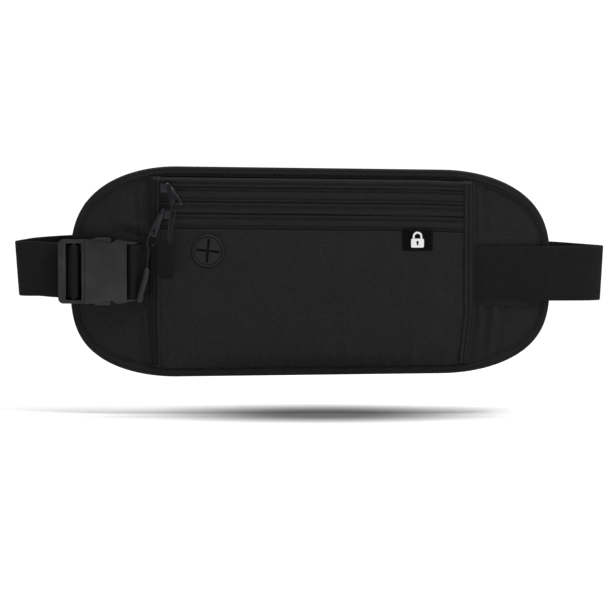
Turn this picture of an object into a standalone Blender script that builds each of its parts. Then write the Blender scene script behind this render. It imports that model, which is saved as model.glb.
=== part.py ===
"""Slim money belt: a pouch with two zipped pockets on one webbing strap with a side-release buckle.

Standalone Blender 4.5 script. Dimensions are written in millimetres, and MM turns them into metres
when a mesh is made. +X is the viewer's right, +Z is up and -Y is the front. The origin is on the
rear face of the strap's rear run, behind the pouch's centre, so the whole belt lies at y <= 0.
"""

import math

import bmesh
import bpy
from mathutils import Matrix, Vector

MM = 0.001
GAP = 0.3  # clearance between touching pieces

# --- pouch outline: two half superellipses joined by straight top and bottom edges ---
OUTLINE_STRAIGHT = 81.0  # half length of the straight stretch
OUTLINE_REACH = 66.1  # how far each end reaches past the straight stretch
OUTLINE_HALF_HEIGHT = 63.1  # at the middle
OUTLINE_TAPER = 0.0125  # half height lost for each mm towards +X
OUTLINE_POWER_RIGHT, OUTLINE_POWER_LEFT = 3.1, 3.4  # fullness of the corners, 2 is an ellipse
OUTLINE_STEPS = 22  # points along each end

# --- thicknesses and the depth stack, from the strap's rear face to the front ---
STRAP_T, STRAP_W = 1.4, 32.4
LOOP_GAP = 5.6  # room for the waist between the strap's rear run and the pouch
BINDING_T, BINDING_W_END, BINDING_W_EDGE = 0.7, 4.0, 6.0
BACK_T, LINING_T, BASE_T, DIVIDER_T = 1.0, 0.4, 0.8, 0.4
BINDING_REAR = -(STRAP_T + LOOP_GAP)
BACK_REAR = BINDING_REAR - BINDING_T - GAP
LINING_REAR = BACK_REAR - BACK_T - GAP
BASE_REAR = LINING_REAR - LINING_T - GAP
BASE_FRONT = BASE_REAR - BASE_T
BINDING_FRONT = BASE_FRONT - GAP - BINDING_T
DIVIDER_REAR = BASE_FRONT - 1.0
POCKET_DEPTH = 4.2  # from the base panel to the inner face of the zip tapes
TAPE_T, COIL_T, COIL_W = 0.6, 1.2, 1.2
TAPE_REAR = BASE_FRONT - POCKET_DEPTH
TAPE_FRONT = TAPE_REAR - TAPE_T
COIL_FRONT = TAPE_REAR + GAP
COIL_REAR = COIL_FRONT + COIL_T
PANEL_T = 0.8

# --- pocket front, left to right and top to bottom ---
POCKET_LEFT, POCKET_RIGHT = -91.6, 93.6
POCKET_TOP, POCKET_BOTTOM = 56.4, -54.9
UPPER_SLIT, LOWER_SLIT, SLIT_HALF = 51.8, 35.9, 0.75
TAPE_SEAM = 43.2  # where the upper zip's tape meets the lower zip's
PANEL_TOP = 26.7
EDGE_TAPER = 9.0  # height over which the panel falls back to the base at its lower edge
SIDE_TAPE_W, SIDE_TAPE_T, SIDE_TAPE_HALF = 6.0, 0.8, 53.5

# --- earphone port and label ---
PORT_X, PORT_Z, PORT_R, PORT_HOLE_R, PORT_TURN = -62.5, 13.2, 10.0, 8.3, -5.5
PORT_SLIT_HALF, PORT_SLIT_W = 7.2, 1.2
LABEL_BOX = (56.4, 13.2, 74.8, 26.2)
TRIM_T = 0.4

# --- strap runs ---
STRAP_ANCHOR_RIGHT, STRAP_END_LEFT = 100.8, -148.4
STRAP_RIGHT_Y = BINDING_FRONT - GAP - STRAP_T / 2
STRAP_LEFT_Y = -10.5
STRAP_RIGHT_X, STRAP_LEFT_X = 179.3, -181.2
STRAP_RIGHT_Z, STRAP_LEFT_Z, STRAP_REAR_Z = -0.8, 1.9, 6.0
FOLD_STEPS = 10

# --- buckle ---
BUCKLE_Z = 0.6
BUCKLE_FRONT, BUCKLE_REAR = -20.6, -12.1
BUCKLE_WALL = 2.0
CROWN = 0.7  # how far the housing's front plate stands out in its middle
CROWN_RINGS = (1.0, 0.96, 0.88, 0.76, 0.6, 0.4)  # outlines of the crown, as shares of the plate
CAVITY_FRONT, CAVITY_REAR = BUCKLE_FRONT + BUCKLE_WALL, BUCKLE_REAR - BUCKLE_WALL
BUCKLE_HALF, MOUTH_HALF, STRAP_GAP_HALF = 19.6, 18.0, 16.95
MOUTH_X, MOUTH_RING = -137.6, 1.2
SHOULDER_X, END_WALL_X, PLATE_END_X, ARM_TIP_X = -120.6, -115.8, -111.9, -105.4
HOUSING_BAR = (-108.5, -15.6)
BAR_R, LOOP_CLEARANCE = 1.4, 0.4
ARM_FRONT, ARM_REAR = -18.0, -13.2
INSERT_END_X, INSERT_BAR_W = -153.9, 4.7
INSERT_FLANGE_X, INSERT_FLANGE_W = MOUTH_X - GAP, 1.5
INSERT_BAR = (-144.2, -16.35)
TONGUE_HALF, TONGUE_END_X = 6.0, -124.0
PRONG_PIVOT_X, PRONG_PIVOT_W = -141.0, 14.2
STRAP_SHORT_ROOT = -99.2

# --- zip pullers ---
SLIDER_LEN, SLIDER_HALF, SLIDER_PLATE_T = 6.1, 3.1, 0.8
SLIDER_REAR_HALF, SLIDER_REAR_T = 2.2, 0.6
SLIDER_X = -88.25
SLIDER_FRONT = TAPE_FRONT - GAP - SLIDER_PLATE_T
BRIDGE_R, BRIDGE_HALF, BRIDGE_FOOT, BRIDGE_RISE = 0.5, 2.9, 0.6, 1.8
BRIDGE_Y = SLIDER_FRONT - 1.9
EYE_IN, EYE_OUT, EYE_HALF = 0.8, 1.35, 0.7
PULL_T = 0.9
UPPER_CORD_Y = -22.6
LOWER_CORD_Y = -19.5
UPPER_CORD_R, LOWER_CORD_R = 0.45, 0.5
TUBE_R, TAG_T = 1.95, 1.4

# colour, roughness and metallic value of each material
MATERIALS = {
    "ripstop": ((0.014, 0.014, 0.015), 0.72, 0.0),
    "mesh_fabric": ((0.020, 0.020, 0.021), 0.85, 0.0),
    "lining": ((0.30, 0.31, 0.32), 0.45, 0.3),
    "binding": ((0.012, 0.012, 0.013), 0.75, 0.0),
    "zip_tape": ((0.016, 0.016, 0.017), 0.70, 0.0),
    "coil": ((0.010, 0.010, 0.011), 0.45, 0.0),
    "webbing": ((0.009, 0.009, 0.010), 0.80, 0.0),
    "buckle_plastic": ((0.028, 0.028, 0.030), 0.42, 0.0),
    "slider_metal": ((0.030, 0.030, 0.032), 0.28, 0.9),
    "cord": ((0.012, 0.012, 0.013), 0.70, 0.0),
    "rubber": ((0.022, 0.022, 0.023), 0.50, 0.0),
    "label_weave": ((0.006, 0.006, 0.006), 0.60, 0.0),
}


def clear_scene():
    for obj in list(bpy.data.objects):
        bpy.data.objects.remove(obj, do_unlink=True)


def material(name):
    if name in bpy.data.materials:
        return bpy.data.materials[name]
    colour, roughness, metallic = MATERIALS[name]
    made = bpy.data.materials.new(name)
    made.use_nodes = True
    shader = made.node_tree.nodes["Principled BSDF"]
    shader.inputs["Base Color"].default_value = (*colour, 1.0)
    shader.inputs["Roughness"].default_value = roughness
    shader.inputs["Metallic"].default_value = metallic
    made.diffuse_color = (*colour, 1.0)
    return made


def add_object(name, bm, slot, pivot=(0.0, 0.0, 0.0), smooth=False):
    """Turns a bmesh in millimetres into an object in metres whose origin is the pivot."""
    bmesh.ops.recalc_face_normals(bm, faces=bm.faces)
    bmesh.ops.translate(bm, verts=bm.verts, vec=-Vector(pivot))
    bmesh.ops.scale(bm, verts=bm.verts, vec=(MM, MM, MM))
    mesh = bpy.data.meshes.new(name)
    bm.to_mesh(mesh)
    bm.free()
    if smooth:
        mesh.shade_smooth()
        mesh.set_sharp_from_angle(angle=math.radians(40))
    obj = bpy.data.objects.new(name, mesh)
    obj.location = Vector(pivot) * MM
    bpy.context.scene.collection.objects.link(obj)
    if slot:
        obj.data.materials.append(material(slot))
    return obj


def prism(loops, low, high, plane="XZ"):
    """A bmesh of flat outlines, the first outside and the rest holes, extruded along the third axis."""
    place = {
        "XZ": lambda a, b, c: (a, c, b),
        "XY": lambda a, b, c: (a, b, c),
        "YZ": lambda a, b, c: (c, a, b),
    }[plane]
    bm = bmesh.new()
    edges = []
    for loop in loops:
        corners = [bm.verts.new(place(a, b, low)) for a, b in loop]
        edges += [bm.edges.new((corners[i - 1], corners[i])) for i in range(len(corners))]
    bmesh.ops.triangle_fill(bm, use_beauty=True, edges=edges)
    made = bmesh.ops.extrude_face_region(bm, geom=list(bm.faces))
    top = [item for item in made["geom"] if isinstance(item, bmesh.types.BMVert)]
    bmesh.ops.translate(bm, verts=top, vec=place(0.0, 0.0, high - low))
    return bm


def box(low, high):
    """A bmesh box between two corners."""
    bm = bmesh.new()
    bmesh.ops.create_cube(bm, size=1.0)
    size = [h - l for l, h in zip(low, high)]
    middle = [(h + l) / 2 for l, h in zip(low, high)]
    bmesh.ops.scale(bm, verts=bm.verts, vec=size)
    bmesh.ops.translate(bm, verts=bm.verts, vec=middle)
    return bm


def swept(stations, closed):
    """A bmesh skin over rings of points, closed on itself or capped at its ends."""
    bm = bmesh.new()
    rings = [[bm.verts.new(point) for point in station] for station in stations]
    count = len(rings[0])
    pairs = list(zip(rings, rings[1:])) + ([(rings[-1], rings[0])] if closed else [])
    for ring, following in pairs:
        for i in range(count):
            j = (i + 1) % count
            bm.faces.new((ring[i], ring[j], following[j], following[i]))
    if not closed:
        bm.faces.new(rings[0])
        bm.faces.new(reversed(rings[-1]))
    return bm


def arc(centre, radius, start, end, steps):
    """Points of a round stretch, in degrees, both ends included."""
    angles = [math.radians(start + (end - start) * i / steps) for i in range(steps + 1)]
    return [(centre[0] + radius * math.cos(a), centre[1] + radius * math.sin(a)) for a in angles]


def join_all(target, pieces):
    """Adds each closed shape to the target with a union, and keeps the shapes as hidden helpers."""
    for piece in pieces:
        piece.hide_render = True
        piece.display_type = "WIRE"
        union = target.modifiers.new("join_" + piece.name, "BOOLEAN")
        union.operation = "UNION"
        union.object = piece


def cut(target, cutter):
    cutter.hide_render = True
    cutter.display_type = "WIRE"
    difference = target.modifiers.new("cut_" + cutter.name, "BOOLEAN")
    difference.operation = "DIFFERENCE"
    difference.object = cutter


def outline_end(side, power, inset):
    """(x, z, outward normal) round one end, upwards. The side is 1 for the right end and -1 for the left."""
    points = []
    for step in range(OUTLINE_STEPS + 1):
        rise = math.sin(math.pi * (step / OUTLINE_STEPS - 0.5))
        reach = math.sqrt(max(0.0, 1.0 - abs(rise) ** power))
        slope = math.copysign(abs(rise) ** (power - 1), rise)
        normal = Vector((
            side * 2.0 * reach / OUTLINE_REACH,
            power * slope / OUTLINE_HALF_HEIGHT,
        )).normalized()
        x = side * (OUTLINE_STRAIGHT + OUTLINE_REACH * reach)
        z = (OUTLINE_HALF_HEIGHT - OUTLINE_TAPER * x) * rise
        points.append((x - inset * normal.x, z - inset * normal.y, normal))
    return points


def outline(inset):
    """(x, z, outward normal) round the pouch, counter-clockwise from the lower right corner."""
    right = outline_end(1, OUTLINE_POWER_RIGHT, inset)
    return right + outline_end(-1, OUTLINE_POWER_LEFT, inset)[::-1]


def make_layers():
    inside = [(x, z) for x, z, _ in outline(BINDING_T + GAP)]
    for name, rear, thickness, slot in (
        ("back_panel", BACK_REAR, BACK_T, "mesh_fabric"),
        ("rfid_lining", LINING_REAR, LINING_T, "lining"),
        ("base_panel", BASE_REAR, BASE_T, "ripstop"),
    ):
        add_object(name, prism([inside], rear - thickness, rear), slot)
    divider_low = POCKET_BOTTOM + EDGE_TAPER / 2
    divider = [
        (POCKET_LEFT, divider_low),
        (POCKET_RIGHT, divider_low),
        (POCKET_RIGHT, TAPE_SEAM),
        (POCKET_LEFT, TAPE_SEAM),
    ]
    bm = prism([divider], DIVIDER_REAR - DIVIDER_T, DIVIDER_REAR)
    add_object("divider_panel", bm, "ripstop")


def make_binding():
    """The folded tape round the outline: a U section, wider along the top and the bottom."""
    stations = []
    lip = 0.8
    for x, z, normal in outline(0.0):
        width = BINDING_W_END + (BINDING_W_EDGE - BINDING_W_END) * abs(normal.y)
        section = [
            (lip, BINDING_REAR),
            (0.0, BINDING_REAR - lip),
            (0.0, BINDING_FRONT + lip),
            (lip, BINDING_FRONT),
            (width, BINDING_FRONT),
            (width, BINDING_FRONT + BINDING_T),
            (BINDING_T + 0.1, BINDING_FRONT + BINDING_T),
            (BINDING_T + 0.1, BINDING_REAR - BINDING_T),
            (width, BINDING_REAR - BINDING_T),
            (width, BINDING_REAR),
        ]
        stations.append([(x - normal.x * inset, y, z - normal.y * inset) for inset, y in section])
    add_object("edge_binding", swept(stations, closed=True), "binding", smooth=True)


def make_front_panel():
    """The lower pocket's front. Its lower edge falls back to the base panel."""
    foot_front = BASE_FRONT - GAP - PANEL_T
    front, rear = [], []
    steps = 5
    for step in range(steps + 1):
        part = step / steps
        z = POCKET_BOTTOM + EDGE_TAPER * part
        y = foot_front + (TAPE_FRONT - foot_front) * math.sin(part * math.pi / 2)
        front.append((y, z))
        rear.append((y + PANEL_T, z))
    top = PANEL_TOP - GAP
    profile = [*front, (TAPE_FRONT, top), (TAPE_FRONT + PANEL_T, top), *reversed(rear)]
    panel = add_object("front_panel", prism([profile], POCKET_LEFT, POCKET_RIGHT, "YZ"), "ripstop")
    hole = arc((PORT_X, PORT_Z), PORT_HOLE_R, 0, 345, 23)
    cut(panel, add_object("port_cutter", prism([hole], TAPE_FRONT - 3, TAPE_REAR + 3), None))


def make_zips():
    """Each zip has two tapes with a slit between them, and a row of coil behind each tape's edge."""
    foot_front = BINDING_FRONT - GAP - TAPE_T  # the upper tape ends over the binding
    taper_start = UPPER_SLIT + SLIDER_HALF + 0.1
    top_profile = [
        (TAPE_FRONT, UPPER_SLIT + SLIT_HALF),
        (TAPE_FRONT, taper_start),
        (foot_front, POCKET_TOP),
        (foot_front + TAPE_T, POCKET_TOP),
        (TAPE_REAR, taper_start),
        (TAPE_REAR, UPPER_SLIT + SLIT_HALF),
    ]
    bm = prism([top_profile], POCKET_LEFT, POCKET_RIGHT, "YZ")
    add_object("upper_zip_top_tape", bm, "zip_tape")
    half_gap = GAP / 2
    for name, low, high in (
        ("upper_zip_bottom_tape", TAPE_SEAM + half_gap, UPPER_SLIT - SLIT_HALF),
        ("lower_zip_top_tape", LOWER_SLIT + SLIT_HALF, TAPE_SEAM - half_gap),
        ("lower_zip_bottom_tape", PANEL_TOP, LOWER_SLIT - SLIT_HALF),
    ):
        bm = box((POCKET_LEFT, TAPE_FRONT, low), (POCKET_RIGHT, TAPE_REAR, high))
        add_object(name, bm, "zip_tape")
    for zip_name, slit in (("upper_zip", UPPER_SLIT), ("lower_zip", LOWER_SLIT)):
        for side, sign in (("top", 1), ("bottom", -1)):
            middle = (COIL_FRONT + COIL_REAR) / 2, slit + sign * (SLIT_HALF + COIL_W / 2)
            ring = arc(middle, COIL_W / 2 * 1.05, 22.5, 337.5, 7)
            bm = prism([ring], POCKET_LEFT, POCKET_RIGHT, "YZ")
            add_object(f"{zip_name}_coil_{side}", bm, "coil", smooth=True)


def make_side_tapes():
    """Vertical tapes that slope from the pocket front down to the wings."""
    foot = BASE_FRONT - GAP
    for name, inner, outward in (
        ("side_tape_left", POCKET_LEFT, -1),
        ("side_tape_right", POCKET_RIGHT, 1),
    ):
        near, far = inner + outward * GAP, inner + outward * (GAP + SIDE_TAPE_W)
        profile = [
            (near, TAPE_FRONT),
            (near, TAPE_FRONT + SIDE_TAPE_T),
            (far, foot),
            (far, foot - SIDE_TAPE_T),
        ]
        bm = prism([profile], -SIDE_TAPE_HALF, SIDE_TAPE_HALF, "XY")
        add_object(name, bm, "binding")


def make_port_and_label():
    """A rubber grommet with a cross slit through it, and a small woven label."""
    centre = (PORT_X, PORT_Z)
    arm, half = PORT_SLIT_HALF, PORT_SLIT_W / 2
    cross = [(arm, -half), (arm, half), (half, half), (half, arm), (-half, arm), (-half, half)]
    cross += [(-x, -z) for x, z in cross]
    turn = Matrix.Rotation(math.radians(PORT_TURN), 2)
    cross = [Vector(centre) + turn @ Vector(point) for point in cross]
    rim_front = TAPE_FRONT - GAP - TRIM_T
    rim = prism([arc(centre, PORT_R, 0, 350, 35), cross], rim_front, TAPE_FRONT - GAP)
    port = add_object("earphone_port", rim, "rubber", smooth=True)
    plug = prism([arc(centre, PORT_HOLE_R - GAP, 0, 345, 23), cross], TAPE_FRONT - GAP * 1.5, TAPE_REAR)
    join_all(port, [add_object("port_plug", plug, None)])
    x0, z0, x1, z1 = LABEL_BOX
    bm = box((x0, TAPE_FRONT - GAP - TRIM_T, z0), (x1, TAPE_FRONT - GAP, z1))
    add_object("label", bm, "label_weave")


def strap_section(x, y, z, normal):
    """Four corners of the strap's section, upright, with its thickness along the normal."""
    nx, ny = normal[0] * STRAP_T / 2, normal[1] * STRAP_T / 2
    low, high = z - STRAP_W / 2, z + STRAP_W / 2
    return [
        (x + nx, y + ny, low),
        (x - nx, y - ny, low),
        (x - nx, y - ny, high),
        (x + nx, y + ny, high),
    ]


def make_strap_long():
    """One webbing from the right wing, round behind the pouch, to the left of the buckle."""
    rear_y = -STRAP_T / 2
    stations = [strap_section(STRAP_ANCHOR_RIGHT, STRAP_RIGHT_Y, STRAP_RIGHT_Z, (0, 1))]
    for x_end, y_front, z_front, sign in (
        (STRAP_RIGHT_X, STRAP_RIGHT_Y, STRAP_RIGHT_Z, 1),
        (STRAP_LEFT_X, STRAP_LEFT_Y, STRAP_LEFT_Z, -1),
    ):
        radius = (rear_y - y_front) / 2
        centre = x_end - sign * (radius + STRAP_T / 2), (rear_y + y_front) / 2
        turned = []
        for step in range(FOLD_STEPS + 1):
            angle = math.pi * (step / FOLD_STEPS - 0.5)
            normal = -sign * math.cos(angle), -math.sin(angle)
            x, y = centre[0] - normal[0] * radius, centre[1] - normal[1] * radius
            turned.append(strap_section(x, y, z_front, normal))
        stations += turned if sign > 0 else turned[::-1]
        if sign > 0:
            rise = STRAP_REAR_Z - STRAP_RIGHT_Z
            for part in (0.25, 0.75):
                x = 140 - 280 * part
                z = STRAP_RIGHT_Z + rise * (0.5 + part / 2)
                stations.append(strap_section(x, rear_y, z, (0, -1)))
    stations.append(strap_section(STRAP_END_LEFT, STRAP_LEFT_Y, STRAP_LEFT_Z, (0, 1)))
    add_object("strap_long", swept(stations, closed=False), "webbing")


def make_short_straps():
    """The tail sewn on the left wing, and the turn of webbing over the insert's bar."""
    low, high = BUCKLE_Z - STRAP_W / 2, BUCKLE_Z + STRAP_W / 2
    rear = BINDING_FRONT - GAP
    tail = [(-103.4, -15.0), (STRAP_SHORT_ROOT, -15.0), (STRAP_SHORT_ROOT, rear), (-105.6, rear)]
    outside = arc(HOUSING_BAR, BAR_R + LOOP_CLEARANCE + STRAP_T - 0.1, 75, 300, 12)
    hole = arc(HOUSING_BAR, BAR_R + LOOP_CLEARANCE, 0, 337.5, 15)
    bm = prism([outside + tail, hole], low, high, "XY")
    add_object("strap_short", bm, "webbing")

    outer = BAR_R + LOOP_CLEARANCE + STRAP_T - 0.2
    turn = arc(INSERT_BAR, outer, -160, 90, 12)
    tail_rear, tail_front = BUCKLE_REAR - GAP, CAVITY_REAR + GAP
    tail = [(-152.0, tail_rear), (-152.0, tail_front), (-147.6, tail_front)]
    hole = arc(INSERT_BAR, BAR_R + LOOP_CLEARANCE - 0.1, 0, 337.5, 15)
    bm = prism([turn + tail, hole], low, high, "XY")
    add_object("strap_adjuster_loop", bm, "webbing", pivot=(INSERT_BAR[0], INSERT_BAR[1], BUCKLE_Z))


def both_halves(points):
    """An outline given as (x, distance from the buckle's middle), mirrored to its lower half."""
    upper = [(x, BUCKLE_Z + w) for x, w in points]
    return upper + [(x, BUCKLE_Z - w) for x, w in reversed(points)]


def crowned_plate(loop):
    """The housing's front plate: flat behind and gently domed in front, over scaled outlines."""
    centre = (MOUTH_X + PLATE_END_X) / 2, BUCKLE_Z
    bm = bmesh.new()
    rings = [[bm.verts.new((x, CAVITY_FRONT, z)) for x, z in loop]]
    for share in CROWN_RINGS:
        y = BUCKLE_FRONT + CROWN * share**2
        rings.append([
            bm.verts.new((centre[0] + (x - centre[0]) * share, y, centre[1] + (z - centre[1]) * share))
            for x, z in loop
        ])
    for outer, inner in zip(rings, rings[1:]):
        for i in range(len(loop)):
            bm.faces.new((outer[i - 1], outer[i], inner[i], inner[i - 1]))
    bm.faces.new(rings[0])
    bm.faces.new(rings[-1])
    return bm


def upright_bar(name, centre, radius, half):
    ring = arc(centre, radius, 0, 337.5, 15)
    return add_object(name, prism([ring], BUCKLE_Z - half, BUCKLE_Z + half, "XY"), None)


def side_blocks(name, points, y_low, y_high):
    """Two prisms with the same outline, one each side of the buckle's middle."""
    made = []
    for side, sign in (("a", 1), ("b", -1)):
        loop = [(x, BUCKLE_Z + sign * w) for x, w in points]
        made.append(add_object(f"{name}_{side}", prism([loop], y_low, y_high), None))
    return made


def make_housing():
    """The socket half: two plates, a ring at the mouth, windows at its sides and a strap bar."""
    notch = arc((SHOULDER_X - 0.5, 19.0), 1.4, 270, 340, 4)
    edge = [
        (MOUTH_X, BUCKLE_HALF),
        (MOUTH_X + MOUTH_RING, BUCKLE_HALF),
        (-124.0, MOUTH_HALF - 0.2),
        *notch,
        (-117.8, BUCKLE_HALF),
        (PLATE_END_X, 18.7),
    ]
    pivot = (HOUSING_BAR[0], HOUSING_BAR[1], BUCKLE_Z)
    plate = both_halves(edge)
    housing = add_object("buckle_housing", crowned_plate(plate), "buckle_plastic", pivot)
    pieces = [add_object("housing_rear", prism([plate], CAVITY_REAR, BUCKLE_REAR), None)]
    wall = both_halves([(END_WALL_X, BUCKLE_HALF - 1.2), (PLATE_END_X - 0.4, 18.4)])
    pieces.append(add_object("housing_wall", prism([wall], BUCKLE_FRONT + 1, BUCKLE_REAR - 1), None))
    shoulder = [
        (SHOULDER_X + 0.3, MOUTH_HALF - 0.6),
        (SHOULDER_X + 0.3, 18.2),
        (-118.2, BUCKLE_HALF - 0.3),
        (PLATE_END_X - 0.6, 18.3),
        (PLATE_END_X - 0.6, MOUTH_HALF - 0.8),
    ]
    pieces += side_blocks("housing_shoulder", shoulder, BUCKLE_FRONT + 1, BUCKLE_REAR - 1)
    ring = [
        (MOUTH_X + 0.05, MOUTH_HALF),
        (MOUTH_X + 0.05, BUCKLE_HALF - 0.2),
        (MOUTH_X + MOUTH_RING - 0.05, BUCKLE_HALF - 0.2),
        (MOUTH_X + MOUTH_RING - 0.05, MOUTH_HALF),
    ]
    pieces += side_blocks("housing_ring", ring, BUCKLE_FRONT + 1, BUCKLE_REAR - 1)
    arm = [
        (PLATE_END_X - 2.0, STRAP_GAP_HALF),
        (PLATE_END_X - 2.0, 18.5),
        (ARM_TIP_X - 1.2, 17.9),
        (ARM_TIP_X, 17.3),
        (ARM_TIP_X - 0.4, STRAP_GAP_HALF),
    ]
    pieces += side_blocks("housing_arm", arm, ARM_FRONT, ARM_REAR)
    pieces.append(upright_bar("housing_bar", HOUSING_BAR, BAR_R, STRAP_GAP_HALF + 0.5))
    join_all(housing, pieces)


def make_insert():
    """The plug half's frame with its strap slot, centre bar and guide tongue."""
    corner = arc((INSERT_END_X + 3.2, BUCKLE_HALF - 3.2), 3.2, 180, 90, 6)
    frame = both_halves([*corner, (INSERT_FLANGE_X, BUCKLE_HALF)])
    slot_x = INSERT_END_X + INSERT_BAR_W, INSERT_FLANGE_X - INSERT_FLANGE_W
    slot = both_halves([(slot_x[0], 17.4), (slot_x[1], 17.4)])
    insert = add_object(
        "buckle_insert",
        prism([frame, slot], CAVITY_FRONT, CAVITY_REAR),
        "buckle_plastic",
        (INSERT_BAR[0], INSERT_BAR[1], BUCKLE_Z),
    )
    flange_low = (slot_x[1], BUCKLE_FRONT + 0.8, BUCKLE_Z - BUCKLE_HALF + 0.2)
    flange_high = (INSERT_FLANGE_X - 0.05, BUCKLE_REAR - 0.8, BUCKLE_Z + BUCKLE_HALF - 0.2)
    tongue_low = (INSERT_FLANGE_X - 0.5, CAVITY_FRONT + 0.4, BUCKLE_Z - TONGUE_HALF)
    tongue_high = (TONGUE_END_X, CAVITY_REAR - 0.4, BUCKLE_Z + TONGUE_HALF)
    pieces = [
        add_object("insert_flange", box(flange_low, flange_high), None),
        add_object("insert_tongue", box(tongue_low, tongue_high), None),
        upright_bar("insert_bar", INSERT_BAR, BAR_R - 0.1, 17.8),
    ]
    join_all(insert, pieces)


def make_prongs():
    """The two sprung arms. Each turns inwards about a line behind its root when it is squeezed."""
    root = INSERT_FLANGE_X + GAP + 0.05
    shape = [
        (root, PRONG_PIVOT_W - 1.6),
        (root, PRONG_PIVOT_W + 1.6),
        (-136.1, 17.0),
        (-136.1, 18.6),
        (-130.0, 20.6),
        (-122.6, 20.6),
        (-121.5, 19.6),
        (-121.5, 17.0),
        (-126.0, 15.2),
    ]
    for name, sign in (("buckle_prong_top", 1), ("buckle_prong_bottom", -1)):
        loop = [(x, BUCKLE_Z + sign * w) for x, w in shape]
        pivot = (PRONG_PIVOT_X, HOUSING_BAR[1], BUCKLE_Z + sign * PRONG_PIVOT_W)
        bm = prism([loop], CAVITY_FRONT + 0.4, CAVITY_REAR - 0.4)
        add_object(name, bm, "buckle_plastic", pivot)


def make_slider(name, slit):
    """A coil-zip slider: front plate, rear plate, the post between them and the bridge."""
    left, right = SLIDER_X - SLIDER_LEN / 2, SLIDER_X + SLIDER_LEN / 2
    plate_rear = SLIDER_FRONT + SLIDER_PLATE_T
    nose = [
        (right, slit - SLIDER_HALF + 0.9),
        (right, slit + SLIDER_HALF - 0.9),
        (right - 1.4, slit + SLIDER_HALF),
        (left + 0.8, slit + SLIDER_HALF),
        (left, slit + SLIDER_HALF - 0.8),
        (left, slit - SLIDER_HALF + 0.8),
        (left + 0.8, slit - SLIDER_HALF),
        (right - 1.4, slit - SLIDER_HALF),
    ]
    body = prism([nose], SLIDER_FRONT, plate_rear)
    slider = add_object(name, body, "slider_metal", (SLIDER_X, BRIDGE_Y, slit))
    rear_y = COIL_REAR + GAP
    post_z = 0.45
    rear = box(
        (left + 0.1, rear_y, slit - SLIDER_REAR_HALF),
        (right - 0.1, rear_y + SLIDER_REAR_T, slit + SLIDER_REAR_HALF),
    )
    post = box(
        (left + 0.2, plate_rear - 0.3, slit - post_z),
        (left + 1.6, rear_y + 0.3, slit + post_z),
    )
    bar_z = bridge_z(slit)
    bar = prism(
        [arc((BRIDGE_Y, bar_z), BRIDGE_R, 0, 315, 7)],
        SLIDER_X - BRIDGE_HALF, SLIDER_X + BRIDGE_HALF, "YZ",
    )
    pieces = [
        add_object(name + "_rear", rear, None),
        add_object(name + "_post", post, None),
        add_object(name + "_bar", bar, None),
    ]
    for side, x in (("l", SLIDER_X - BRIDGE_HALF), ("r", SLIDER_X + BRIDGE_HALF - BRIDGE_FOOT)):
        foot = box(
            (x - 0.05, BRIDGE_Y - 0.35, bar_z - 0.35),
            (x + BRIDGE_FOOT, SLIDER_FRONT + 0.3, bar_z + 0.35),
        )
        pieces.append(add_object(f"{name}_foot_{side}", foot, None))
    join_all(slider, pieces)


def bridge_z(slit):
    return slit + BRIDGE_RISE


def make_pull(name, slit, eye_x, corners, hole, lean):
    """A flat tab on an eye round the slider's bridge; lean is how far it comes forward per mm down."""
    top = bridge_z(slit)
    tab = prism([corners, hole], -PULL_T / 2, PULL_T / 2)
    start = top - EYE_OUT - 0.3
    for vert in tab.verts:
        vert.co.y += BRIDGE_Y - max(0.0, start - vert.co.z) * lean
    pull = add_object(name, tab, "slider_metal", (SLIDER_X, BRIDGE_Y, top))
    centre = (BRIDGE_Y, top)
    eye = prism(
        [arc(centre, EYE_OUT, 0, 337.5, 15), arc(centre, EYE_IN, 0, 337.5, 15)],
        eye_x - EYE_HALF, eye_x + EYE_HALF, "YZ",
    )
    join_all(pull, [add_object(name + "_eye", eye, None)])


def smooth_route(points, spacing):
    """Points at an even spacing along a Catmull-Rom curve through the route's own points."""
    route = [Vector(p) for p in points]
    ends = [route[0] * 2 - route[1], *route, route[-1] * 2 - route[-2]]
    fine = [route[0]]
    for a, b, c, d in zip(ends, ends[1:], ends[2:], ends[3:]):
        for step in range(1, 13):
            t = step / 12
            fine.append(0.5 * (
                2 * b + (c - a) * t + (2 * a - 5 * b + 4 * c - d) * t**2
                + (3 * b - a - 3 * c + d) * t**3
            ))
    total = sum((q - p).length for p, q in zip(fine, fine[1:]))
    count = max(2, round(total / spacing))
    kept, walked, wanted = [fine[0]], 0.0, total / count
    for p, q in zip(fine, fine[1:]):
        step = (q - p).length
        while step and walked + step >= wanted and len(kept) < count:
            kept.append(p.lerp(q, (wanted - walked) / step))
            wanted += total / count
        walked += step
    return kept + [fine[-1]]


def make_cord(name, route, radius, spacing, slot, pivot):
    """A tube along a smooth curve, as a poly spline with filled caps."""
    curve = bpy.data.curves.new(name, "CURVE")
    curve.dimensions = "3D"
    curve.bevel_depth = radius * MM
    curve.bevel_resolution = 2
    curve.use_fill_caps = True
    points = smooth_route(route, spacing)
    spline = curve.splines.new("POLY")
    spline.points.add(len(points) - 1)
    for point, place in zip(spline.points, points):
        point.co = (*((place - Vector(pivot)) * MM), 1.0)
    obj = bpy.data.objects.new(name, curve)
    obj.location = Vector(pivot) * MM
    bpy.context.scene.collection.objects.link(obj)
    curve.materials.append(material(slot))
    return obj


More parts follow.
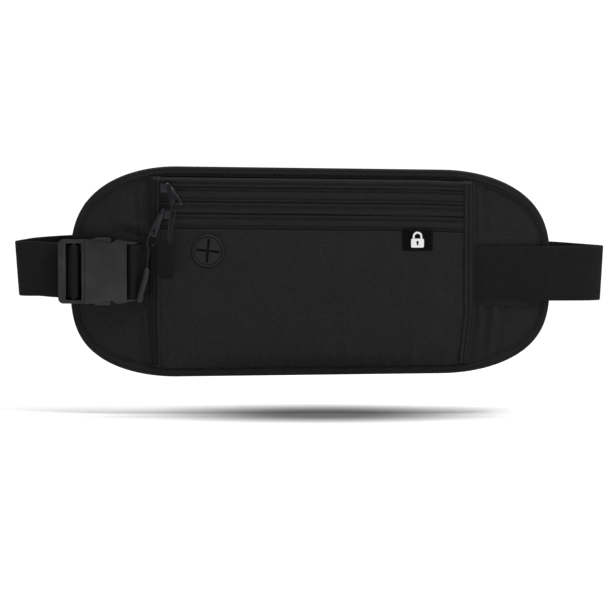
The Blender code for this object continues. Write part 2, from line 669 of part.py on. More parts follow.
def make_upper_puller():
    tab = [(-87.5, 52.7), (-84.2, 52.7), (-77.5, 42.0), (-78.1, 40.9), (-84.4, 41.4), (-85.0, 42.4)]
    hole = [(-84.0, 42.7), (-79.6, 42.5), (-80.6, 45.0), (-83.0, 45.2)]
    lean = 0.36
    make_pull("pull_upper", UPPER_SLIT, -86.9, tab, hole, lean)
    y = UPPER_CORD_Y
    route = [
        (-86.1, y, 18.2), (-86.2, y, 22.5), (-86.0, y, 27.0), (-85.4, y, 33.0), (-84.9, y - 0.3, 37.0),
        (-84.5, y - 0.7, 39.5), (-84.1, y - 0.8, 41.6), (-83.4, y - 0.3, 43.3), (-82.8, y + 1.2, 43.9),
        (-82.4, y + 2.4, 43.2), (-82.0, y + 2.4, 41.2), (-82.0, y + 1.7, 39.0), (-82.4, y + 0.8, 36.6),
        (-82.9, y + 0.1, 33.5), (-83.8, y, 29.0), (-84.6, y, 23.6), (-84.9, y, 18.2),
    ]
    pivot = (-83.0, y, 42.0)
    make_cord("cord_upper", route, UPPER_CORD_R, 1.6, "cord", pivot)
    lower = arc((-90.0, -0.9), 2.6, 180, 270, 4) + arc((-86.4, -0.1), 3.6, 270, 360, 5)
    upper = [(-83.2, 16.6), (-84.4, 17.9), (-91.4, 17.9), (-92.6, 16.6)]
    bm = prism([lower + upper], y - TAG_T / 2, y + TAG_T / 2)
    add_object("tag_upper", bm, "rubber", pivot)


def make_lower_puller():
    tab = [(-92.2, 36.8), (-89.0, 36.8), (-93.7, 22.6), (-94.6, 21.6), (-98.0, 22.8), (-98.5, 24.2)]
    hole = [(-97.5, 24.3), (-94.9, 23.2), (-94.5, 27.2)]
    lean = 0.04
    make_pull("pull_lower", LOWER_SLIT, -89.5, tab, hole, lean)
    y = LOWER_CORD_Y
    route = [
        (-99.6, y, 3.3), (-99.2, y, 7.0), (-98.7, y, 11.0), (-98.6, y - 0.4, 14.6),
        (-99.3, y - 1.1, 17.4), (-98.9, y - 1.4, 20.4), (-97.5, y - 1.4, 23.0), (-96.4, y - 0.9, 24.2),
        (-95.75, y + 0.45, 24.65), (-95.2, y + 1.8, 24.3), (-94.0, y + 2.2, 22.6),
        (-93.4, y + 2.1, 20.4), (-93.9, y + 1.6, 18.3), (-95.3, y + 0.9, 17.0), (-96.7, y + 0.3, 16.6),
    ]
    pivot = (-95.6, y, 23.6)
    make_cord("cord_lower", route, LOWER_CORD_R, 1.6, "cord", pivot)
    tube = [
        (-99.6, y, 2.9), (-100.0, y, -1.0), (-100.9, y, -5.0), (-102.3, y, -9.5),
        (-103.4, y, -13.6), (-103.9, y, -18.0),
    ]
    make_cord("tube_lower", tube, TUBE_R, 3.2, "rubber", pivot)


def main():
    clear_scene()
    make_layers()
    make_binding()
    make_front_panel()
    make_zips()
    make_side_tapes()
    make_port_and_label()
    make_strap_long()
    make_short_straps()
    make_housing()
    make_insert()
    make_prongs()
    make_slider("slider_upper", UPPER_SLIT)
    make_slider("slider_lower", LOWER_SLIT)
    make_upper_puller()
    make_lower_puller()


main()
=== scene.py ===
"""Looks for the money belt: sewn panels, zips, webbing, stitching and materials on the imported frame."""
import math

import bmesh
import bpy
from mathutils import Matrix, Vector, noise


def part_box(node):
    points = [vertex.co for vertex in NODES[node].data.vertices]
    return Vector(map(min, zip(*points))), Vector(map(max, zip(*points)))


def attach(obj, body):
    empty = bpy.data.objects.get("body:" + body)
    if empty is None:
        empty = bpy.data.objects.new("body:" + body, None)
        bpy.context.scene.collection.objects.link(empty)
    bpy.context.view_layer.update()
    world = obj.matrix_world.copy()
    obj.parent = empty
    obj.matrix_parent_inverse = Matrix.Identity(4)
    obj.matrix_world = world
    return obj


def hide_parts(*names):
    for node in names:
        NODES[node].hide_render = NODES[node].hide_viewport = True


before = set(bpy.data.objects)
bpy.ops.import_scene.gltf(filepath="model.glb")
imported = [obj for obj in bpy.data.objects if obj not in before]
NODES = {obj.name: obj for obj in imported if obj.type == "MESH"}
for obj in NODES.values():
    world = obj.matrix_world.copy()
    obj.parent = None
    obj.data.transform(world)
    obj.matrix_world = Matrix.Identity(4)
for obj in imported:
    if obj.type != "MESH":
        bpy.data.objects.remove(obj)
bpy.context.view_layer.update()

MM = 0.001

# ---- places, from the frame (millimetres)


def mm_box(node):
    """The lowest and the highest corner of a node's box."""
    low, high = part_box(node)
    return low / MM, high / MM


RIM_LOW, RIM_HIGH = mm_box("edge_binding")
PANEL_LOW, PANEL_HIGH = mm_box("front_panel")
UPPER_TOP_LOW, UPPER_TOP_HIGH = mm_box("upper_zip_top_tape")
UPPER_BOTTOM_LOW, UPPER_BOTTOM_HIGH = mm_box("upper_zip_bottom_tape")
LOWER_TOP_LOW, LOWER_TOP_HIGH = mm_box("lower_zip_top_tape")
SIDE_RIGHT_LOW, SIDE_RIGHT_HIGH = mm_box("side_tape_right")
STRAP_LOW, STRAP_HIGH = mm_box("strap_long")
SHORT_LOW, SHORT_HIGH = mm_box("strap_short")
PORT_LOW, PORT_HIGH = mm_box("earphone_port")
PORT_CENTRE, PORT_RADIUS = (PORT_LOW + PORT_HIGH) / 2, (PORT_HIGH.x - PORT_LOW.x) / 2
LABEL_LOW, LABEL_HIGH = mm_box("label")

POCKET_FRONT = UPPER_BOTTOM_LOW.y
BUCKLE_REAR_Y = mm_box("buckle_housing")[1].y
HOUSING_BAR = (-108.5, -15.6)  # (x, y), as all the bars' centres
INSERT_BAR = (-144.2, -16.35)
UPPER_CORD_Y, LOWER_CORD_Y = -22.6, -19.5
UPPER_SLIT = (UPPER_TOP_LOW.z + UPPER_BOTTOM_HIGH.z) / 2
LOWER_SLIT = (LOWER_TOP_LOW.z + mm_box("lower_zip_bottom_tape")[1].z) / 2
TAPE_SEAM = (UPPER_BOTTOM_LOW.z + LOWER_TOP_HIGH.z) / 2
BASE_FRONT = mm_box("base_panel")[0].y
RIM_FRONT, RIM_REAR = RIM_LOW.y, RIM_HIGH.y

# the pouch's outline: two half superellipses joined by straight edges that taper to the right
STRAIGHT = 81.0
REACH = RIM_HIGH.x - STRAIGHT
HALF_HEIGHT = 63.6
TAPER = 0.0125
CORNER_POWERS = {1: (3.4, 3.1), -1: (3.5, 3.0)}  # (lower, upper) at the right end and the left end
RIM_W_END, RIM_W_EDGE = 4.0, 6.2


def clamp(value, low=0.0, high=1.0):
    return max(low, min(high, value))


def smooth(value):
    value = clamp(value)
    return value * value * (3 - 2 * value)


def bump(value, centre, width):
    """A soft hump of height 1 at the centre that falls to 0 over about the width."""
    return math.exp(-(((value - centre) / width) ** 2))


def lengths(points):
    """How far along a line of points each one lies."""
    run = [0.0]
    for a, b in zip(points, points[1:]):
        run.append(run[-1] + math.dist(a, b))
    return run


def wander(x, z, scale, seed=0.0):
    """Smooth noise, about -1 to 1, that changes over roughly the scale in millimetres."""
    return noise.noise(Vector((x / scale, z / scale, seed)))


# ---- mesh helpers


def linked(name, data):
    """A new object that is in the scene."""
    obj = bpy.data.objects.new(name, data)
    bpy.context.scene.collection.objects.link(obj)
    return obj


def declare(obj, node=None, body="pouch"):
    """Says which CAD node a piece replaces and the body that carries it."""
    if node:
        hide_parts(node)
    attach(obj, body)


def mesh_object(name, points, faces, material, uvs=None):
    """An object from points in millimetres; uvs is one (u, v) in metres for each point."""
    mesh = bpy.data.meshes.new(name)
    mesh.from_pydata([[c * MM for c in p] for p in points], [], faces)
    if uvs is not None:
        layer = mesh.uv_layers.new(name="UVMap")
        for loop in mesh.loops:
            layer.data[loop.index].uv = uvs[loop.vertex_index]
    mesh.validate()
    mesh.shade_smooth()
    mesh.materials.append(material)
    return linked(name, mesh)


def face_outward(obj, merge=0.0):
    """Turns every face outwards, after merging points that are closer than a distance in metres."""
    bm = bmesh.new()
    bm.from_mesh(obj.data)
    if merge:
        bmesh.ops.remove_doubles(bm, verts=bm.verts, dist=merge)
    bmesh.ops.recalc_face_normals(bm, faces=bm.faces)
    bm.to_mesh(obj.data)
    bm.free()
    return obj


def skin(rings, sides, start=0, closed=False):
    """Faces over rings of points numbered from a start, closed on itself or capped at both ends."""
    faces = []
    for ring in range(rings if closed else rings - 1):
        a, b = start + ring * sides, start + (ring + 1) % rings * sides
        for i in range(sides):
            j = (i + 1) % sides
            faces.append((a + i, a + j, b + j, b + i))
    if not closed:
        end = start + rings * sides
        faces += [tuple(range(start, start + sides)), tuple(range(end - 1, end - 1 - sides, -1))]
    return faces


def swept(name, stations, material, closed=False, uvs=None, sharp=50):
    """A skin over stations, each one a ring of points; edges above the sharp angle stay sharp."""
    points = [p for station in stations for p in station]
    faces = skin(len(stations), len(stations[0]), closed=closed)
    obj = face_outward(mesh_object(name, points, faces, material, uvs))
    if sharp:
        obj.data.set_sharp_from_angle(angle=math.radians(sharp))
    return obj


def cloth_sheet(name, columns, material, thickness, closed=False):
    """A sheet of cloth from columns of front points, with its rear face a thickness behind (+Y).
    A closed one's columns run outwards from a spine, where their points coincide and are merged."""
    rows, count = len(columns[0]), len(columns)
    front = [p for column in columns for p in column]
    rear = [(x, y + thickness, z) for x, y, z in front]
    total = len(front)
    faces = []

    def wall(a, b):
        faces.append((a, b, total + b, total + a))

    for c in range(count if closed else count - 1):
        start, after = c * rows, (c + 1) % count * rows
        for r in range(rows - 1):
            a, b = start + r, after + r
            faces.append((a, a + 1, b + 1, b))
            faces.append((total + a, total + b, total + b + 1, total + a + 1))
        wall(start + rows - 1, after + rows - 1)
        if not closed:
            wall(start, after)
    if not closed:
        for a in (*range(rows - 1), *range(total - rows, total - 1)):
            wall(a, a + 1)
    return face_outward(mesh_object(name, front + rear, faces, material), merge=2e-5 if closed else 0.0)


def sewn_sheet(obj, slot, node, flat, **area):
    """Declares a piece that is one flat cut of cloth, sewn down into the edge binding."""
    declare(obj, node)


def outline_end(side, inset, steps):
    """(x, z, outward normal) round one end, upwards; the side is 1 for the right and -1 for the left."""
    points = []
    for step in range(steps + 1):
        rise = math.sin(math.pi * (step / steps - 0.5))
        power = CORNER_POWERS[side][rise > 0]
        reach = math.sqrt(max(0.0, 1.0 - abs(rise) ** power))
        slope = math.copysign(abs(rise) ** (power - 1), rise)
        normal = Vector((side * 2 * reach / REACH, power * slope / HALF_HEIGHT)).normalized()
        x = side * (STRAIGHT + REACH * reach)
        z = (HALF_HEIGHT - TAPER * x) * rise
        points.append((x - inset * normal.x, z - inset * normal.y, normal))
    return points


def outline(inset, end_steps=44, edge_steps=60):
    """(x, z, outward normal) round the pouch, counter-clockwise from the lower right corner."""

    def edge(start, end):
        (x0, z0, normal), (x1, z1, _) = start, end
        parts = [step / edge_steps for step in range(1, edge_steps)]
        return [(x0 + (x1 - x0) * p, z0 + (z1 - z0) * p, normal) for p in parts]

    right = outline_end(1, inset, end_steps)
    left = outline_end(-1, inset, end_steps)[::-1]
    return right + edge(right[-1], left[0]) + left + edge(left[-1], right[0])


def rim_width(normal):
    return RIM_W_END + (RIM_W_EDGE - RIM_W_END) * abs(normal.y)


def outline_z(x, inset=0.0):
    """Half height of the outline at an x."""
    power = CORNER_POWERS[1 if x > 0 else -1][1]
    past = clamp((abs(x) - STRAIGHT) / REACH)
    return (HALF_HEIGHT - TAPER * x) * (1 - past * past) ** (1 / power) - inset


# ---- material helpers


class Graph:
    """A new material or world, with shader nodes that are added by type and linked by their inputs."""

    def __init__(self, name, kind=bpy.data.materials, shader="Principled BSDF"):
        self.owner = kind.new(name)
        self.owner.use_nodes = True
        self.tree = self.owner.node_tree
        self.shader = self.tree.nodes[shader]
        self.place = self.coordinates("Object")

    def add(self, kind, inputs=None, **settings):
        node = self.tree.nodes.new(kind)
        for key, value in settings.items():
            setattr(node, key, value)
        for key, value in (inputs or {}).items():
            self.put(node, key, value)
        return node

    def put(self, node, key, value):
        if isinstance(value, bpy.types.NodeSocket):
            self.tree.links.new(value, node.inputs[key])
        else:
            node.inputs[key].default_value = value

    def math(self, operation, a, b=0.0, clamped=False):
        return self.add("ShaderNodeMath", {0: a, 1: b}, operation=operation, use_clamp=clamped).outputs[0]

    def times(self, a, b):
        return self.math("MULTIPLY", a, b)

    def total(self, *terms, clamped=False):
        """The sum of (value, weight) terms."""
        first, *others = [self.times(value, weight) for value, weight in terms]
        for other in others:
            first = self.math("ADD", first, other, clamped)
        return first

    def coordinates(self, kind):
        return self.add("ShaderNodeTexCoord").outputs[kind]

    def axes(self, vector):
        return self.add("ShaderNodeSeparateXYZ", {0: vector}).outputs[:3]

    def wave(self, value, length):
        """0 to 1 and back over a length in metres."""
        return self.total((self.math("SINE", self.times(value, 2 * math.pi / length)), 0.5), (1.0, 0.5))

    def noise(self, scale, detail=3.0, rough=0.55, stretch=(1.0, 1.0, 1.0)):
        vector = self.add("ShaderNodeMapping", {"Vector": self.place, "Scale": stretch}).outputs[0]
        inputs = {"Vector": vector, "Scale": scale, "Detail": detail, "Roughness": rough}
        return self.add("ShaderNodeTexNoise", inputs).outputs[0]

    def between(self, factor, low, high):
        return self.add("ShaderNodeMapRange", {0: factor, 3: low, 4: high}).outputs[0]

    def contrast(self, value, low, high):
        """Stretches the part of a noise between two levels to 0 to 1."""
        return self.add("ShaderNodeMapRange", {0: value, 1: low, 2: high}).outputs[0]

    def tint(self, factor, low, high):
        inputs = {0: factor, 6: (*low, 1.0), 7: (*high, 1.0)}
        return self.add("ShaderNodeMix", inputs, data_type="RGBA").outputs[2]

    def surface(self, colour, roughness, specular, height=0.0, depth=0.0, sheen=0.0, metallic=0.0):
        """The finished material, with bumps as deep as a depth in metres."""
        normal = self.add("ShaderNodeBump", {"Height": height, "Distance": depth, "Strength": 1.0})
        inputs = {
            "Base Color": colour, "Roughness": roughness, "Specular IOR Level": specular,
            "Normal": normal.outputs[0], "Sheen Weight": sheen, "Metallic": metallic,
        }
        for key, value in inputs.items():
            self.put(self.shader, key, value)
        return self.owner

    def greys(self, factor, level, low, high):
        """A colour between two shares of a grey level."""
        return self.tint(factor, grey(level * low), grey(level * high))


def grey(level, blue=0.12):
    """A neutral dark colour with a trace of blue."""
    return (level, level, level * (1 + blue))


def plain_weave(graph, across, along, pitch):
    """Height of a plain weave: threads over and under each other, by two coordinates in metres."""
    sines = [graph.math("SINE", graph.times(value, math.pi / pitch)) for value in (across, along)]
    crossed = graph.times(*sines)
    over, under = (
        graph.times(graph.math(side, crossed), graph.math("ABSOLUTE", sine))
        for side, sine in zip(("GREATER_THAN", "LESS_THAN"), sines)
    )
    return graph.math("ADD", over, under)


def fabric(name, level, pitch, specular=0.1, roughness=0.6, sheen=0.02):
    graph = Graph(name)
    x, _, z = graph.axes(graph.place)
    weave = plain_weave(graph, x, z, pitch)
    cloudy = graph.noise(55.0)
    fuzz = graph.noise(2600.0, 2.0)
    slubs = graph.noise(900.0, 2.0, stretch=(0.12, 1.0, 2.2))
    grain = graph.contrast(graph.noise(620.0, stretch=(0.8, 1.0, 1.0)), 0.3, 0.7)
    shade = graph.total((weave, 0.25), (cloudy, 0.3), (grain, 0.45))
    return graph.surface(
        graph.greys(shade, level, 0.45, 1.6), graph.between(cloudy, roughness - 0.05, roughness + 0.08),
        specular, graph.total((weave, 1.0), (fuzz, 0.5), (slubs, 0.8)), 0.00006, sheen,
    )


def ribbed_tape(name, level, rib, axis, specular=0.1, roughness=0.65, depth=0.00012):
    """Woven tape with ribs that repeat along one axis of its UV map (0 is along, 1 is across)."""
    graph = Graph(name)
    uv = graph.axes(graph.coordinates("UV"))
    ribs = graph.math("POWER", graph.wave(uv[axis], rib), 0.6)
    threads = graph.wave(uv[1 - axis], rib * 0.55)
    cloudy = graph.noise(70.0)
    fuzz = graph.noise(3000.0, 2.0)
    grain = graph.contrast(graph.noise(700.0), 0.3, 0.7)
    shade = graph.total((ribs, 0.5), (grain, 0.5))
    return graph.surface(
        graph.greys(shade, level, 0.7, 1.25), graph.between(cloudy, roughness - 0.06, roughness + 0.08),
        specular, graph.total((ribs, 1.0), (threads, 0.35), (fuzz, 0.4)), depth, sheen=0.02,
    )


def moulded_plastic(name, level, roughness, specular=0.38):
    """Spark-eroded plastic: fine grain, faint flow marks and slightly paler, smoother worn edges."""
    graph = Graph(name)
    fine = graph.noise(4200.0, 3.0, 0.6)
    flow = graph.noise(60.0, 2.0)
    scuffs = graph.noise(420.0, 4.0, 0.7)
    worn, patches = graph.contrast(scuffs, 0.5, 0.75), graph.contrast(flow, 0.32, 0.68)
    shade = graph.total((patches, 0.8), (worn, 0.3), clamped=True)
    gloss = graph.total((scuffs, 1.0), (flow, 0.3))
    return graph.surface(
        graph.greys(shade, level, 0.7, 1.6), graph.between(gloss, roughness - 0.05, roughness + 0.1),
        specular, fine, 0.00003,
    )


def plated_metal(name, level, roughness=0.36):
    """Black-plated zinc: slight orange peel, and the plating thinner where it is rubbed."""
    graph = Graph(name)
    peel = graph.noise(900.0, 2.0)
    rubbed = graph.noise(1600.0, 4.0, 0.7)
    return graph.surface(
        graph.greys(rubbed, level, 0.6, 1.7), graph.between(peel, roughness - 0.08, roughness + 0.12),
        0.5, peel, 0.00003, metallic=0.85,
    )


def rubber(name, level, roughness, specular):
    graph = Graph(name)
    dust = graph.noise(1500.0, 3.0, 0.65)
    cloudy = graph.noise(120.0, 2.0)
    return graph.surface(
        graph.greys(cloudy, level, 0.85, 1.2), graph.between(dust, roughness - 0.07, roughness + 0.1),
        specular, dust, 0.00003,
    )


def spacer_mesh(name, level):
    """Breathable mesh for the back: offset rows of small holes."""
    graph = Graph(name)
    inputs = {"Vector": graph.place, "Scale": 420.0, "Randomness": 0.12}
    cells = graph.add("ShaderNodeTexVoronoi", inputs).outputs["Distance"]
    shade = graph.total((cells, 0.8), (graph.noise(60.0), 0.3))
    colour = graph.greys(shade, level, 0.35, 1.5)
    return graph.surface(colour, 0.85, 0.2, cells, 0.0005, sheen=0.03)


def braided_cord(name, level):
    graph = Graph(name)
    x, _, z = graph.axes(graph.place)
    one, two = (graph.wave(graph.math(sign, z, x), 0.0008) for sign in ("ADD", "SUBTRACT"))
    plaits = graph.times(one, two)
    colour = graph.greys(plaits, level, 0.6, 1.4)
    return graph.surface(colour, 0.7, 0.25, plaits, 0.00012, sheen=0.03)


def plain_thread(name, colour, roughness):
    graph = Graph(name)
    twist = graph.noise(5200.0, 2.0)
    low, high = [c * 0.8 for c in colour], [min(1.0, c * 1.15) for c in colour]
    return graph.surface(graph.tint(twist, low, high), roughness, 0.3, twist, 0.00004)


RIPSTOP = fabric("pocket_nylon", 0.0105, 0.00042)
WING = fabric("wing_nylon", 0.0105, 0.00042)
TAPE = ribbed_tape("zip_tape_knit", 0.0112, 0.0005, 1)
BINDING = ribbed_tape("edge_tape_weave", 0.0105, 0.0010, 0)
WEBBING = ribbed_tape("strap_webbing_weave", 0.0068, 0.0013, 0, specular=0.08, depth=0.0002)
SPACER = spacer_mesh("back_spacer_mesh", 0.016)
LINING = fabric("lining_film", 0.25, 0.0006, specular=0.5, roughness=0.4, sheen=0.0)
PLASTIC = moulded_plastic("buckle_acetal", 0.0135, 0.36, specular=0.26)
METAL = plated_metal("puller_metal", 0.019)
RUBBER = rubber("port_rubber", 0.0095, 0.6, 0.2)
TUBE_RUBBER = rubber("tube_rubber", 0.013, 0.42, 0.25)
TAG_RUBBER = rubber("tag_rubber", 0.0062, 0.7, 0.06)
CORD = braided_cord("puller_cord_braid", 0.011)
THREAD = plain_thread("black_thread", grey(0.0035), 0.8)
WHITE_THREAD = plain_thread("white_thread", (0.75, 0.75, 0.75), 0.6)
COIL = moulded_plastic("coil_nylon", 0.008, 0.4)
LABEL = fabric("label_satin", 0.003, 0.00025, specular=0.02)


# ---- stitching


TOWARD_FRONT = (0, -1, 0)


def stitching(name, rows, pitch, length, radius):
    """One piece with a stitch at every pitch along each row, which is (path, facing).
    Each stitch dips into the cloth at its ends."""
    points, faces = [], []
    sides = 6
    shape = [(-0.5, -0.3, 0.25), (-0.36, 0.25, 0.8), (0.0, 0.55, 1.0), (0.36, 0.25, 0.8), (0.5, -0.3, 0.25)]
    for path, facing in rows:
        path, out = [Vector(p) for p in path], Vector(facing).normalized()
        walked, following = 0.0, 0.4
        for a, b in zip(path, path[1:]):
            step = (b - a).length
            while step and walked + step >= following:
                centre = a.lerp(b, (following - walked) / step)
                along = (b - a).normalized()
                across = along.cross(out).normalized()
                faces += skin(len(shape), sides, start=len(points))
                for offset, lift, thick in shape:
                    middle = centre + along * offset * length + out * lift * radius
                    for k in range(sides):
                        angle = 2 * math.pi * k / sides
                        turned = across * math.cos(angle) + out * math.sin(angle)
                        points.append(middle + turned * radius * thick)
                following += pitch
            walked += step
    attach(face_outward(mesh_object(name, points, faces, THREAD)), "pouch")


# ---- soft shapes


def tape_dip(x):
    """The zips run slightly downhill to the right and sag where they go under the right side tape."""
    return -0.6 - 0.0105 * x - 0.6 * smooth((x - 66) / 28) + 0.10 * wander(x, 0, 45, 2.0)


def side_shift(z):
    """The right side tape leans inwards towards its lower end."""
    return -2.8 * smooth((-z - 22) / 36)


def stitch_dimples(run, pitch):
    """0 to 1: how far the cloth is pulled in at this place along a row of stitches."""
    return 0.5 + 0.5 * math.cos(2 * math.pi * run / pitch)


# (x, depth) of the puckers along the pocket's hem
PUCKERS = (
    (-83.0, 0.35), (-66.0, 0.55), (-49.6, 0.8), (-29.4, 1.0), (-5.0, 0.6), (8.0, 0.9),
    (24.0, 1.15), (45.5, 1.0), (63.0, 0.7), (84.0, 0.45),
)


def panel_front(x, z):
    """Front face of the lower pocket panel: flat under the zip, slightly full, puckered at its hem."""
    foot = hem_z(x)
    height = z - foot
    rise = clamp(height / 8.0)
    y = (BASE_FRONT - 1.1) + (POCKET_FRONT - BASE_FRONT + 1.1) * math.sin(rise * math.pi / 2)
    side = clamp(min(x - PANEL_LOW.x, PANEL_HIGH.x - x) / 26.0)
    below = clamp((PANEL_HIGH.z - z) / 18.0)
    y -= 0.5 * smooth(side) * smooth(below) * smooth(height / 20)
    fade = math.exp(-(height / 15.0)) * smooth((height + 1.5) / 4)
    for centre, depth in PUCKERS:
        lean = 0.12 * height * math.sin(centre)
        y -= 1.2 * depth * fade * bump(x, centre + lean, 2.6)
        y += 0.9 * depth * fade * bump(x, centre + 5.5 * math.cos(centre * 3) + lean, 3.0)
    y += 0.16 * fade * math.sin(x * 1.15 + 2.0 * math.sin(x * 0.13))
    y += 0.50 * wander(x, z * 0.45, 21, 5.0) * smooth(below + 0.2)
    y += 0.38 * wander(x * 0.5 + z * 0.5, z, 15, 15.0) * smooth(below + 0.2)
    y += 0.09 * wander(x, z, 7, 9.0)
    from_port = math.hypot(x - PORT_CENTRE.x, z - PORT_CENTRE.z)
    y = max(y, POCKET_FRONT - 0.15) if from_port < PORT_RADIUS + 1.5 else y
    return y + 1.3 * smooth((PORT_RADIUS - from_port) / 1.2)


def hem_z(x):
    """The lower edge of the pocket panel, just under the edge binding's lip."""
    return -outline_z(x, RIM_W_EDGE - 0.7)


# folds of the right wing (1) and the left wing (-1)
# upright ones, below and above the strap: (how far out, |x| at z = 0, lean with z, width)
UPRIGHT_FOLDS = {
    1: (((1.5, 106, 0.05, 1.9), (-0.9, 110.3, 0.08, 2.0), (1.2, 115, 0.10, 2.2), (-0.7, 119, 0.10, 2.4)),
        ((1.1, 103.6, 0, 1.4), (-0.8, 106.4, 0, 1.7))),
    -1: (((1.2, 102.5, 0.05, 1.7), (-0.9, 106.0, 0.08, 2.1), (0.8, 111.0, 0.10, 2.6)),
         ((1.0, 101.0, 0.05, 1.6), (-0.7, 103.5, 0.10, 2.2))),
}
# level ones: (how far out, z at |x| = 100, slope, width, |x| of its end, length of the fade there)
LEVEL_FOLDS = {
    1: ((0.6, 18.6, 0.05, 2.2, 136, 20), (-0.6, -20.5, -0.03, 1.8, 140, 12)),
    -1: ((-0.8, 22.5, 0.16, 2.2, 122, 14), (1.1, 27.5, 0.22, 2.8, 126, 16)),
}


def fullness(x, z, steepness, margin):
    """0 at the edge binding and 1 well inside it."""
    half = max(outline_z(x, 5.0), 1.0)
    return smooth((1 - abs(z) / half) * steepness) * smooth((RIM_HIGH.x - 4 - abs(x)) / margin)


def wing_front(x, z):
    """Front face of the base panel, which shows as the wings either side of the pockets."""
    y = BASE_FRONT - 0.15 - 0.6 * fullness(x, z, 2.2, 14)
    low = smooth((-z - 17) / 7) * smooth((z + 59) / 8)
    high = smooth((z - 19) / 7) * smooth((58 - z) / 8)
    side, far = (1 if x > 0 else -1), abs(x)
    for zone, folds in zip((low, high), UPRIGHT_FOLDS[side]):
        for out, place, lean, width in folds:
            y -= out * bump(far, place + lean * z, width) * zone
    for out, place, slope, width, end, fade in LEVEL_FOLDS[side]:
        y -= out * bump(z, place + slope * (far - 100), width) * smooth((end - far) / fade)
    y += 0.4 * wander(x, z, 24, 1.0) + 0.14 * wander(x, z, 9, 21.0)
    clear_of_strap = smooth((abs(z + 0.8) - 18.5) / 4)
    return max(y, BASE_FRONT - 1.3 - 1.1 * clear_of_strap)


def rings_to_outline(rings, height):
    """Points that fill the outline, from its middle line out, with y from height(x, z)."""
    columns = []
    for x, z, _ in outline(1.1, 100, 110):
        spine = clamp(x, -STRAIGHT, STRAIGHT)
        parts = [ring / rings for ring in range(rings + 1)]
        places = [(spine + (x - spine) * part, z * part) for part in parts]
        columns.append([(px, height(px, pz), pz) for px, pz in places])
    return columns


POUCH_CUT = (0.2942, 0.1282)
FRONT_POCKET_CUT = (0.187, 0.084)


def outline_area():
    """Flat area of the pouch's outline, in square metres."""
    points = [(x * MM, z * MM) for x, z, _ in outline(0.0)]
    return abs(sum(x0 * z1 - x1 * z0 for (x0, z0), (x1, z1) in zip(points, points[1:] + points[:1]))) / 2


def make_pouch_layers():
    back_face = mm_box("back_panel")[1].y

    def back_height(x, z):
        return back_face - 0.9 + 0.75 * fullness(x, z, 2.0, 16) + 0.12 * wander(x, z, 22, 12.0)

    for name, node, slot, rings, height, material in (
        ("wing_fabric", "base_panel", "ripstop", 64, wing_front, WING),
        ("back_spacer", "back_panel", "mesh_fabric", 30, back_height, SPACER),
    ):
        sheet = cloth_sheet(name, rings_to_outline(rings, height), material, 0.5, closed=True)
        sewn_sheet(sheet, slot, node, POUCH_CUT, area=outline_area())


def make_front_panel():
    """The lower pocket front. It dips under the port, so that the port's slits look dark."""
    columns = []
    across, down = 220, 110
    left, right = PANEL_LOW.x - 0.4, PANEL_HIGH.x + 0.4
    for i in range(across + 1):
        middle = left + (right - left) * i / across
        low, high = hem_z(middle), PANEL_HIGH.z + tape_dip(middle)
        column = []
        for k in range(down + 1):
            z = low + (high - low) * (k / down) ** 1.15
            x = left + (right + side_shift(z) - left) * i / across
            column.append((x, panel_front(x, z), z))
        columns.append(column)
    panel = cloth_sheet("front_pocket_fabric", columns, RIPSTOP, 0.45)
    sewn_sheet(panel, "ripstop", "front_panel", FRONT_POCKET_CUT)


def ribbon(name, profile, rows, x_low, x_high, pitch):
    """A tape that runs along X. Its profile lists (z, y) of the front face from bottom to top."""
    thickness, spacing = 0.45, 0.55
    steps = round((x_high - x_low) / spacing)
    stations, uvs = [], []
    run = lengths(profile)
    for step in range(steps + 1):
        x = x_low + (x_high - x_low) * step / steps
        shift = tape_dip(x)
        front = []
        for z, y in profile:
            near = sum(bump(z, row, 0.55) for row in rows)
            gather = sum(bump(z, row, 1.6) for row in rows)
            y += 0.42 * near * stitch_dimples(x, pitch) + 0.06 * wander(x, z, 11, 3.0)
            y += 0.05 * gather * wander(x, z, 2.4, 31.0)
            front.append((x, y, z + shift + 0.05 * wander(x, z, 18, 33.0)))
        rear = [(x, y + thickness, z + shift) for z, y in reversed(profile)]
        stations.append(front + rear)
        uvs += [(x * MM, v * MM) for v in run + run[::-1]]
    return swept(name, stations, TAPE, uvs=uvs, sharp=75)


def refine(profile, longest=0.5):
    """The same profile with points added, so that no span is longer than the given length."""
    points = [profile[0]]
    for (z0, y0), (z1, y1) in zip(profile, profile[1:]):
        count = max(1, math.ceil(math.hypot(z1 - z0, y1 - y0) / longest))
        points += [(z0 + (z1 - z0) * i / count, y0 + (y1 - y0) * i / count) for i in range(1, count + 1)]
    return points


